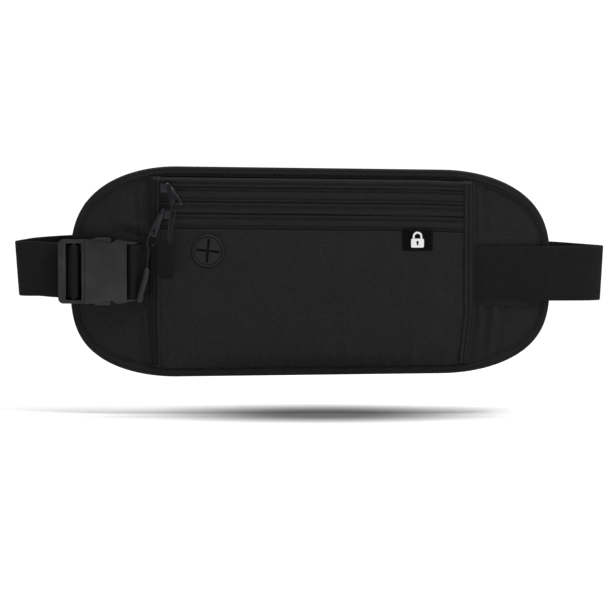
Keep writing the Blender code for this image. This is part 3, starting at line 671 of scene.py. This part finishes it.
def make_zips():
    """Four tapes. Each has a rolled lip along its slit and rows of stitches that pull it in."""
    x_low, x_high = UPPER_TOP_LOW.x - 0.3, UPPER_TOP_HIGH.x + 0.3
    upper, lower, hem = UPPER_SLIT, LOWER_SLIT, PANEL_HIGH.z
    under_rim = RIM_FRONT - 0.75 - POCKET_FRONT
    pitch, thread_depth = 2.45, 0.27
    # a tape's front from bottom to top or top to bottom: from each height, (further up, further in than
    # the pocket's face); and the heights of its rows of stitches
    shapes = {
        "upper_zip_top_tape": (((upper, (
            (0.12, 0.9), (0.16, 0.42), (0.6, -0.1), (1.3, -0.2), (2.0, -0.1), (2.5, 0.25), (3.1, -0.05),
            (4.3, -0.15), (5.1, 0.1), (5.5, 0.62), (5.75, 1.72), (5.85, under_rim),
        )),), (upper + 2.5,)),
        "upper_zip_bottom_tape": (((TAPE_SEAM, (
            (0.10, 0.92), (0.14, 0.42), (0.5, -0.08), (1.1, -0.05),
        )), (upper, (
            (-6.9, 0.3), (-6.2, 0.0), (-4.2, -0.08), (-2.4, 0.0), (-1.9, 0.35), (-1.4, 0.15),
            (-0.9, -0.1), (-0.5, 0.0), (-0.17, 0.42), (-0.12, 0.9),
        ))), (upper - 6.7, upper - 1.8)),
        "lower_zip_top_tape": (((lower, (
            (0.12, 0.9), (0.17, 0.42), (0.5, -0.2), (1.2, -0.24), (1.9, -0.2), (2.3, 0.2), (2.7, 0.27),
            (4.1, 0.25), (4.4, 0.4), (4.8, 0.2),
        )), (TAPE_SEAM, (
            (-0.6, 0.2), (-0.25, 0.42), (-0.1, 0.82),
        ))), (lower + 4.4,)),
        "lower_zip_bottom_tape": (((hem, (
            (0.25, 0.67), (0.6, 0.37),
        )), (lower, (
            (-8.0, 0.15), (-7.5, 0.4), (-6.9, 0.0), (-5.0, -0.06), (-3.6, 0.0), (-3.0, 0.35), (-2.5, 0.15),
            (-1.5, -0.08), (-0.6, 0.0), (-0.18, 0.42), (-0.12, 0.9),
        ))), (lower - 7.5, lower - 3.0)),
    }
    threads = []
    for node, (spans, rows) in shapes.items():
        profile = [(start + up, POCKET_FRONT + deep) for start, points in spans for up, deep in points]
        tape = ribbon(node + "_cloth", refine(profile), rows, x_low, x_high, pitch)
        declare(tape, node)
        xs = [x_low + 1 + (x_high - x_low - 2) * i / 90 for i in range(91)]
        for z in rows:
            path = [(x, POCKET_FRONT + thread_depth, z + tape_dip(x)) for x in xs]
            threads.append((path, TOWARD_FRONT))
    stitching("zip_stitching", threads, pitch=pitch, length=1.1, radius=0.27)


def make_binding():
    """Folded tape round the rim: two soft rolls with a row of stitches near its inner edge."""
    stations, uvs = [], []
    pitch = 2.9
    rim = outline(0.0, 190, 200)
    middle = (RIM_FRONT + RIM_REAR) / 2
    for (x, z, normal), run in zip(rim, lengths([(x, z) for x, z, _ in rim])):
        wide = rim_width(normal) + 0.15 * wander(run, 0, 9, 4.0)
        swell = 0.14 * wander(run, 5, 14, 6.0) + 0.05 * wander(run, 5, 4, 16.0)
        pull = 0.3 * stitch_dimples(run, pitch)
        # (distance in from the rim, y) over the front, round the rim, over the rear and back inside
        section = [(inset, RIM_FRONT + y) for inset, y in (
            (wide, 0.55), (wide - 0.12, 0.15), (wide - 0.45, -0.08 + swell), (wide - 0.85, 0.1),
            (wide - 1.15, 0.4 + pull), (wide - 1.5, 0.06), (wide - 2.0, -0.22 + swell),
            (wide * 0.45, -0.24 + swell), (wide * 0.36, 0.22), (wide * 0.28, -0.1 + swell),
            (0.9, 0.0), (0.45, 0.35), (0.12, 0.95),
        )]
        section += [(0.0, middle)] + [(inset, RIM_REAR + y) for inset, y in (
            (0.12, -0.95), (0.45, -0.4), (0.9, -0.1), (wide * 0.5, 0.0), (wide - 1.5, -0.05),
            (wide - 1.15, -0.2 - pull * 0.6), (wide - 0.8, -0.08), (wide - 0.15, -0.15),
            (wide, -0.45), (wide - 0.2, -0.65), (1.2, -0.75),
        )]
        section += [(0.75, middle), (1.2, RIM_FRONT + 0.85), (wide - 0.2, RIM_FRONT + 0.75)]
        stations.append([(x - normal.x * o, y, z - normal.y * o) for o, y in section])
        uvs += [(run * MM, v * MM) for v in lengths(section)]
    binding = swept("edge_binding_tape", stations, BINDING, closed=True, uvs=uvs, sharp=0)
    declare(binding, "edge_binding")
    insets = [rim_width(normal) - 1.15 for _, _, normal in rim]
    seam = [(x - normal.x * inset, z - normal.y * inset) for (x, z, normal), inset in zip(rim, insets)]
    faces = ((RIM_FRONT + 0.3, TOWARD_FRONT), (RIM_REAR - 0.16, (0, 1, 0)))
    rows = [([(x, y, z) for x, z in seam + seam[:1]], facing) for y, facing in faces]
    stitching("binding_stitching", rows, pitch=pitch, length=1.7, radius=0.26)


def make_side_tapes():
    """Tapes over the pockets' raw ends: three soft ribs between two rows of stitches and the edges."""
    pitch = 2.7
    # (share of the width outwards, share of the drop to the wing, how far the cloth stands out)
    profile = (
        (-0.05, 0.08, -0.35), (0.0, 0.03, 0.0), (0.06, 0.0, 0.3), (0.16, 0.0, 0.5), (0.26, 0.04, 0.42),
        (0.335, 0.12, 0.0), (0.385, 0.17, -0.55), (0.435, 0.21, 0.05), (0.52, 0.3, 0.46), (0.6, 0.41, 0.48),
        (0.685, 0.52, 0.12), (0.735, 0.6, -0.45), (0.785, 0.68, 0.05), (0.87, 0.8, 0.4), (0.94, 0.9, 0.28),
        (1.0, 0.98, -0.05), (1.01, 1.04, -0.3),
    )
    dimpled = (6, 11)
    for node, side, inner, width in (
        ("side_tape_left", -1, mm_box("side_tape_left")[1].x + 0.1, 6.8),
        ("side_tape_right", 1, SIDE_RIGHT_LOW.x + 0.2, 6.9),
    ):
        stations, uvs, rows = [], [], [[], []]
        steps = 190
        half = outline_z(inner + side * 3, RIM_W_EDGE - 0.8)
        for step in range(steps + 1):
            z = -half + 2 * half * step / steps
            shift = side_shift(z) if side > 0 else 0.25 * wander(z, 0, 40, 7.0)
            narrow = 1 - (0.38 if side < 0 else 0.12) * smooth((-z - 30) / 25)
            ends = 1 - smooth(min(z + half, half - z) / 1.6)
            top = POCKET_FRONT - 0.3 + (RIM_FRONT - POCKET_FRONT) * ends
            foot = BASE_FRONT - 0.75 - 0.9 * ends
            front = []
            for index, (out, drop, proud) in enumerate(profile):
                pull = 0.3 * stitch_dimples(z, pitch) if index in dimpled else 0.0
                wave = 0.10 * wander(z, out * 9, 7, 8.0) + 0.05 * wander(z, out * 9, 2.6, 18.0)
                x = inner + side * out * width * narrow + shift
                front.append((x, top + (foot - top) * drop - proud + pull + wave, z))
            rear = [(x, y + 0.5, z) for x, y, z in reversed(front)]
            stations.append(front + rear)
            run = [p[0] * width for p in profile]
            uvs += [(z * MM, r * MM) for r in run + run[::-1]]
            for row, index in enumerate(dimpled):
                rows[row].append(front[index])
        tape = swept(node + "_cloth", stations, BINDING, uvs=uvs, sharp=75)
        declare(tape, node)
        rows = list(zip(rows, (TOWARD_FRONT, (side * 0.45, -1, 0))))
        stitching(node + "_stitching", rows, pitch=pitch, length=1.6, radius=0.24)


def webbing_section(width):
    """(height, share of the thickness) round a crowned section: its edges are thinner and rounded."""
    half = width / 2
    edge = [(-half + 0.25, 0.36), (-half + 0.9, 0.49), (-half * 0.5, 0.5)]
    face = edge + [(0.0, 0.5)] + [(-w, t) for w, t in edge[::-1]]
    return [(-half, 0.0)] + face + [(half, 0.0)] + [(w, -t) for w, t in face[::-1]]


def strap_piece(name, node, body, route, spacing, width, thickness, lean=lambda x: 0.0):
    """Upright webbing along a smooth curve through a route of (x, y, z).
    lean(x) says how far the upper edge is moved along X for each millimetre of height."""
    path, _ = curve_through(route, spacing)
    section = webbing_section(width)
    stations, uvs = [], []
    neighbours = zip(path[:1] + path, path, path[1:] + path[-1:], lengths(path))
    for before, (x, y, z), after, run in neighbours:
        along = Vector((after[0] - before[0], after[1] - before[1])).normalized()
        stations.append([
            (x - along.y * t * thickness + lean(x) * w, y + along.x * t * thickness, z + w)
            for w, t in section
        ])
        uvs += [(run * MM, w * MM) for w, _ in section]
    declare(swept(name, stations, WEBBING, uvs=uvs, sharp=70), node, body)


def curve_through(points, spacing):
    """Points at an even spacing on a Catmull-Rom curve through the given points."""
    route = [Vector(p) for p in points]
    ends = [route[0] * 2 - route[1], *route, route[-1] * 2 - route[-2]]
    fine = [route[0]]
    for a, b, c, d in zip(ends, ends[1:], ends[2:], ends[3:]):
        for step in range(1, 25):
            t = step / 24
            fine.append(0.5 * (
                2 * b + (c - a) * t + (2 * a - 5 * b + 4 * c - d) * t**2
                + (3 * b - a - 3 * c + d) * t**3
            ))
    total = sum((q - p).length for p, q in zip(fine, fine[1:]))
    count = max(2, round(total / spacing))
    kept, walked, wanted = [fine[0]], 0.0, total / count
    for p, q in zip(fine, fine[1:]):
        step = (q - p).length
        while step and walked + step >= wanted and len(kept) < count:
            kept.append(p.lerp(q, (wanted - walked) / step))
            wanted += total / count
        walked += step
    return [tuple(p) for p in kept] + [tuple(fine[-1])], total


def circle(centre, radius, start=0.0, end=360.0, steps=64):
    """Points of an arc, by two angles in degrees; a whole circle leaves out its last point."""
    count = steps if end - start < 360 else steps - 1
    angles = [math.radians(start + (end - start) * i / steps) for i in range(count + 1)]
    return [(centre[0] + radius * math.cos(a), centre[1] + radius * math.sin(a)) for a in angles]


def make_straps():
    """The long strap round the back, and the turns of webbing over the buckle's two bars."""
    width = SHORT_HIGH.z - SHORT_LOW.z
    wider, thick, turn_thick = 1.2, 1.3, 1.2
    rim_x = RIM_HIGH.x
    right_end, left_end = STRAP_HIGH.x, STRAP_LOW.x + 1.0
    right_y, rear_y, left_y = STRAP_LOW.y + thick / 2, -0.75, -10.5
    z_right, z_rear, z_left, z_slot = -0.8, 6.0, 1.9, 0.9
    # in order: over the right wing, past the rim, the right fold, the rear run, the left fold and the buckle
    parts = (
        (0, BASE_FRONT, z_right, (
            (SIDE_RIGHT_HIGH.x - 0.6, -1.15, 0), (106, -1.45, 0), (122, -1.75, 0))),
        (rim_x, right_y, z_right, ((-12, -0.15, 0), (0, -0.3, 0), (8, -0.05, 0), (18, 0.45, 0))),
        (right_end, right_y, z_right, ((-6.8, 1.6, 0), (-2.9, 3.6, 0))),
        (right_end, 0, z_right, ((-0.7, -7.0, 0), (-2.7, -3.6, 0.1), (-7.3, -1.3, 0.3), (-15, rear_y, 0.9))),
        (0, rear_y, 0, (
            (145, 0, z_right + 2.2), (100, 0, 2.6), (40, 0, 3.8), (-20, 0, 4.9),
            (-80, 0, z_rear), (-125, 0, z_rear), (-152, 0, 5.0), (left_end + 13, 0, 3.8))),
        (left_end, 0, z_left, (
            (7, -1.4, 1.0), (2.3, -3.2, 0.3), (0.7, -5.7, 0), (2.5, -8.3, 0), (7, -10.0, 0),
            (14, left_y - 0.1, 0))),
        (0, left_y, z_slot, ((-158, 0, 0.3), (-150, 0, 0), (-142, -0.1, 0))),
    )
    route = [(x0 + x, y0 + y, z0 + z) for x0, y0, z0, points in parts for x, y, z in points]

    def lean(x):
        return 0.055 * smooth((x - rim_x - 8) / 18) - 0.07 * smooth((-x - rim_x - 8) / 18)

    strap_piece("strap_webbing", "strap_long", "pouch", route, 2.0, width + wider, thick, lean)

    bar_z = (SHORT_LOW.z + SHORT_HIGH.z) / 2
    sewn_x, loop_x = SHORT_HIGH.x + 0.6, mm_box("strap_adjuster_loop")[0].x - 0.6
    # each starts from (x, y), goes to the bar, turns round it and comes back, by offsets from its start
    for name, node, body, (x0, y0), there, around, back in (
        # the tail sewn on the left wing, doubled over the housing's bar
        ("strap_tail_turn", "strap_short", "pouch", (sewn_x, BASE_FRONT),
         ((0, -2.3), (-3, -2.7), (-5.5, -4.4)), circle(HOUSING_BAR, 2.45, -50, -300, 22),
         ((-6, -1.7), (-3, -1.1), (0, -0.9))),
        # up through the insert's slot, over its bar and back behind
        ("strap_adjuster_turn", "strap_adjuster_loop", "buckle_insert", (loop_x, BUCKLE_REAR_Y),
         ((0, -1.35), (2.5, -1.45), (4.2, -2.4)), circle(INSERT_BAR, 2.25, -165, 75, 20),
         ((5.4, -0.5), (3, 0.1), (0, 0.2))),
    ):
        there, back = ([(x0 + x, y0 + y) for x, y in offsets] for offsets in (there, back))
        route = [(x, y, bar_z) for x, y in there + around + back]
        strap_piece(name, node, body, route, 0.6, width, turn_thick)


# ---- small pieces


def plate(name, loops, y_front, thickness, material, edge=0.0):
    """A flat piece facing the viewer from outlines of (x, z); the first is outside, the rest are holes."""
    bm = bmesh.new()
    edges = []
    for loop in loops:
        corners = [bm.verts.new((x * MM, y_front * MM, z * MM)) for x, z in loop]
        edges += [bm.edges.new((corners[i - 1], corners[i])) for i in range(len(corners))]
    bmesh.ops.triangle_fill(bm, use_beauty=True, edges=edges)
    made = bmesh.ops.extrude_face_region(bm, geom=list(bm.faces))
    back = [item for item in made["geom"] if isinstance(item, bmesh.types.BMVert)]
    bmesh.ops.translate(bm, verts=back, vec=(0, thickness * MM, 0))
    bmesh.ops.dissolve_limit(bm, angle_limit=math.radians(0.5), verts=bm.verts, edges=bm.edges)
    obj = mesh_object(name, [], [], material)
    bm.to_mesh(obj.data)
    bm.free()
    round_edges(face_outward(obj), edge)
    return obj


def round_edges(obj, width):
    """Bevels the sharp edges of a hard piece and shades it smooth."""
    if width:
        bevel = obj.modifiers.new("round_edges", "BEVEL")
        bevel.width = width * MM
        bevel.segments = 3
        bevel.limit_method = "ANGLE"
        bevel.angle_limit = math.radians(40)
    obj.data.shade_smooth()
    obj.data.set_sharp_from_angle(angle=math.radians(40))


def make_port():
    """A rubber grommet: a raised ring, a groove and a disc with a cross slit."""
    centre = (PORT_CENTRE.x, PORT_CENTRE.z)
    radius, front, steps = PORT_RADIUS, PORT_LOW.y, 96

    def ring(name, profile):
        """Turned about the port's axis from (distance out from its rim, further in than its front)."""
        stations = []
        for angle in (2 * math.pi * i / steps for i in range(steps)):
            x, z = math.cos(angle), math.sin(angle)
            stations.append([
                (centre[0] + (radius + out) * x, front + deeper, centre[1] + (radius + out) * z)
                for out, deeper in profile
            ])
        return swept(name, stations, RUBBER, closed=True)

    rim = ring("port_ring", (
        (-1.25, 0.85), (-1.25, 0.2), (-1.1, -0.08), (-0.85, -0.2), (-0.6, -0.2), (-0.3, -0.05),
        (-0.05, 0.3), (0.0, 0.75), (-0.4, 0.95),
    ))
    bed = ring("port_groove_bed", ((-2.3, 0.9), (-0.9, 0.9), (-0.9, 1.1), (-2.3, 1.1)))
    arm, half, turned = 7.2, 0.72, Matrix.Rotation(math.radians(-5.5), 2)
    cross = [(arm, -half), (arm, half), (half, half), (half, arm), (-half, arm), (-half, half)]
    cross += [(-x, -z) for x, z in cross]
    slit = [tuple(Vector(centre) + turned @ Vector(point)) for point in cross]
    disc = plate("port_disc", [circle(centre, radius - 1.75), slit], front + 0.08, 0.8, RUBBER, 0.14)
    for piece, node in ((rim, None), (bed, None), (disc, "earphone_port")):
        declare(piece, node)


def rounded_box(x_low, z_low, x_high, z_high, radius, steps=6):
    """Outline of a rectangle with round corners, counter-clockwise."""
    corners = (
        (x_low + radius, z_low + radius, 180), (x_high - radius, z_low + radius, 270),
        (x_high - radius, z_high - radius, 0), (x_low + radius, z_high - radius, 90),
    )
    return [p for x, z, start in corners for p in circle((x, z), radius, start, start + 90, steps)]


def make_label():
    """A black woven label with a plain padlock, the common sign for a safe pocket, in white thread."""
    x0, z0, x1, z1 = LABEL_LOW.x, LABEL_LOW.z, LABEL_HIGH.x, LABEL_HIGH.z
    front = LABEL_LOW.y
    cloth = plate("label_cloth", [rounded_box(x0, z0, x1, z1, 0.5)], front, 0.45, LABEL, 0.16)
    declare(cloth, "label")
    x, z = (x0 + x1) / 2, (z0 + z1) / 2 - 1.6
    body = rounded_box(x - 3.9, z - 2.9, x + 3.9, z + 2.6, 0.8)
    keyhole = circle((x, z + 0.4), 0.8, -50, 230, 18) + [(x - 0.45, z - 1.5), (x + 0.45, z - 1.5)]
    foot, outside, inside = z + 2.75, 2.9, 1.75
    outer, inner = (circle((x, z + 3.9), radius, 0, 180, 20) for radius in (outside, inside))
    arch = [(x + outside, foot), *outer, (x - outside, foot)]
    arch += [(x - inside, foot), *inner[::-1], (x + inside, foot)]
    for name, loops in (("label_padlock_body", [body, keyhole]), ("label_padlock_shackle", [arch])):
        icon = plate(name, loops, front - 0.12, 0.3, WHITE_THREAD, 0.06)
        declare(icon)
    edge = rounded_box(x0 + 0.7, z0 + 0.7, x1 - 0.7, z1 - 0.7, 0.4)
    path = [(px, front - 0.02, pz) for px, pz in edge + edge[:1]]
    stitching("label_stitching", [(path, TOWARD_FRONT)], pitch=1.5, length=1.1, radius=0.11)


def round_tube(name, route, radius, material, sides=24):
    """A tube with rounded ends along a smooth curve."""
    path, _ = curve_through(route, radius * 0.35)
    points = [Vector(p) for p in path]
    stations = []
    total = len(points) - 1
    for i, point in enumerate(points):
        along = (points[min(i + 1, total)] - points[max(i - 1, 0)]).normalized()
        across = along.cross(Vector((0, 1, 0))).normalized()
        out = across.cross(along)
        from_end = min(i, total - i) * 0.35
        size = radius * math.sqrt(clamp(1 - (1 - min(from_end, 1.0)) ** 2, 0.35, 1.0))
        stations.append([
            tuple(point + (across * math.cos(a) + out * math.sin(a)) * size)
            for a in (2 * math.pi * k / sides for k in range(sides))
        ])
    return swept(name, stations, material, sharp=60)


def free_cord(name, route, radius, node, body):
    """A thin cord as a curve, declared in place of its node."""
    points, length = curve_through(route, 0.55)
    curve = bpy.data.curves.new(name, "CURVE")
    curve.dimensions = "3D"
    curve.bevel_depth = radius * MM
    curve.bevel_resolution = 4
    curve.use_fill_caps = True
    spline = curve.splines.new("POLY")
    spline.points.add(len(points) - 1)
    for point, place in zip(spline.points, points):
        point.co = (*(c * MM for c in place), 1.0)
    curve.materials.append(CORD)
    obj = linked(name, curve)
    declare(obj, node, body)


def hung(y, route):
    """A route of (x, further in, z) moved to a y."""
    return [(x, y + deeper, z) for x, deeper, z in route]


def make_pullers():
    """The cord loop with its tag on the upper zip, and the cord with its tube on the lower one."""
    # from the tag's left side through the pull's eye and back to its right side, by (x, further in, z)
    loop = hung(UPPER_CORD_Y, (
        (-86.1, 0, 18.2), (-86.2, 0, 22.5), (-86.0, 0, 27.0), (-85.4, 0, 33.0), (-84.9, -0.3, 37.0),
        (-84.5, -0.7, 39.5), (-84.1, -0.8, 41.6), (-83.4, -0.3, 43.3), (-82.8, 1.2, 43.9),
        (-82.4, 2.4, 43.2), (-82.0, 2.4, 41.2), (-82.0, 1.7, 39.0), (-82.4, 0.8, 36.6),
        (-82.9, 0.1, 33.5), (-83.8, 0, 29.0), (-84.6, 0, 23.6), (-84.9, 0, 18.2),
    ))
    free_cord("upper_puller_cord", loop, 0.45, "cord_upper", "puller_upper")
    # from the tube through the lower pull's eye to a knot
    single = hung(LOWER_CORD_Y, (
        (-99.6, 0, 3.3), (-99.2, 0, 7.0), (-98.7, 0, 11.0), (-98.6, -0.4, 14.6), (-99.3, -1.1, 17.4),
        (-98.9, -1.4, 20.4), (-97.5, -1.4, 23.0), (-96.4, -0.9, 24.2), (-95.75, 0.45, 24.65),
        (-95.2, 1.8, 24.3), (-94.0, 2.2, 22.6), (-93.4, 2.1, 20.4), (-93.9, 1.6, 18.3),
        (-95.3, 0.9, 17.0), (-96.7, 0.3, 16.6),
    ))
    bent = hung(LOWER_CORD_Y, (
        (-99.6, 0, 2.9), (-100.0, 0, -1.0), (-100.9, 0, -5.0), (-102.3, 0, -9.5),
        (-103.4, 0, -13.6), (-103.9, 0, -18.0),
    ))
    tube = round_tube("lower_puller_tube", bent, 1.95, TUBE_RUBBER)
    declare(tube, "tube_lower", "puller_lower")
    free_cord("lower_puller_cord", single, 0.5, "cord_lower", "puller_lower")


def finish_cad_nodes():
    """Hard parts keep their CAD shape, with rounded edges and their own material."""
    zips = ("upper_zip", "lower_zip")
    choices = (
        (PLASTIC, 0.4, ["buckle_housing"]), (PLASTIC, 0.45, ["buckle_insert"]),
        (PLASTIC, 0.35, ["buckle_prong_top", "buckle_prong_bottom"]),
        (METAL, 0.16, ["slider_upper", "slider_lower"]), (METAL, 0.14, ["pull_upper", "pull_lower"]),
        (TAG_RUBBER, 0.35, ["tag_upper"]), (RIPSTOP, 0.0, ["divider_panel"]), (LINING, 0.0, ["rfid_lining"]),
        (COIL, 0.0, [f"{name}_coil_{side}" for name in zips for side in ("top", "bottom")]),
    )
    for material, edge, node in ((m, edge, node) for m, edge, nodes in choices for node in nodes):
        obj = NODES[node]
        obj.data.materials.clear()
        obj.data.materials.append(material)
        weld = obj.modifiers.new("weld", "WELD")
        weld.merge_threshold = 1e-5
        if edge:
            flatten = obj.modifiers.new("flatten", "DECIMATE")
            flatten.decimate_type = "DISSOLVE"
            flatten.angle_limit = math.radians(0.6)
            round_edges(obj, edge)


def make_stage():
    radius, back_edge, floor_z = 9.0, 0.42, -0.0885
    centre = (0, back_edge - radius, floor_z)
    bpy.ops.mesh.primitive_circle_add(vertices=256, radius=radius, fill_type="NGON", location=centre)
    floor = bpy.context.object
    floor.name = "studio_floor"
    # the photo's shadow is a drawn soft ellipse, so the paint darkens under the pouch as well
    half_length, half_depth, middle = 0.148, 0.076, (0.008, -0.003)
    graph = Graph("studio_floor_paint")
    x, y, _ = graph.axes(graph.place)
    along = graph.math("DIVIDE", graph.math("SUBTRACT", x, middle[0]), half_length)
    deep = graph.math("DIVIDE", graph.math("SUBTRACT", y, middle[1] - centre[1]), half_depth)
    out = graph.math("SQRT", graph.total((along, along), (deep, deep)))
    inputs = {0: out, 1: 0.15, 2: 0.95, 3: 0.16, 4: 1.0}
    painted_shadow = graph.add("ShaderNodeMapRange", inputs, interpolation_type="SMOOTHSTEP").outputs[0]
    speck = graph.between(graph.noise(30.0), 0.90, 0.94)
    floor.data.materials.append(graph.surface(graph.times(speck, painted_shadow), 0.9, 0.1))

    sky = Graph("studio", bpy.data.worlds, "Background")
    bpy.context.scene.world = sky.owner
    seen = sky.add("ShaderNodeLightPath").outputs["Is Camera Ray"]
    for key, value in (("Color", (1, 1, 1, 1)), ("Strength", sky.between(seen, 0.12, 1.1))):
        sky.put(sky.shader, key, value)

    def lamp(name, kind, energy, location, **settings):
        """A light that points at the origin."""
        data = bpy.data.lights.new(name, kind)
        data.energy = energy
        for key, value in settings.items():
            setattr(data, key, value)
        obj = linked(name, data)
        obj.location = location
        obj.rotation_euler = (-Vector(location)).to_track_quat("-Z", "Y").to_euler()

    lamp("overhead", "SUN", 3.1, (0, 0, 2), angle=math.radians(46))
    box = "RECTANGLE"
    lamp("key_softbox", "AREA", 10.6, (0.75, -0.5, 1.05), shape=box, size=0.4, size_y=0.3)
    lamp("fill_softbox", "AREA", 0.9, (-0.5, -1.3, 0.5), shape=box, size=0.6, size_y=0.6)


def make_camera():
    """Straight on, a touch above the middle, with a long lens."""
    data = bpy.data.cameras.new("camera")
    data.lens = 200
    data.sensor_width = 36
    span = 0.3752
    distance = span * data.lens / data.sensor_width
    elevation = math.radians(4.5)
    target = Vector((-0.0025, -0.011, -0.021))
    back = Vector((0, -math.cos(elevation), math.sin(elevation)))
    camera = linked("camera", data)
    camera.location = target + back * distance
    camera.rotation_mode = "QUATERNION"
    camera.rotation_quaternion = (-back).to_track_quat("-Z", "Y")
    bpy.context.scene.camera = camera
    bpy.context.scene.view_settings.view_transform = "Standard"


make_camera()
make_pullers()
make_stage()
make_pouch_layers()
make_front_panel()
make_zips()
make_binding()
make_side_tapes()
make_straps()
make_port()
make_label()
finish_cad_nodes()
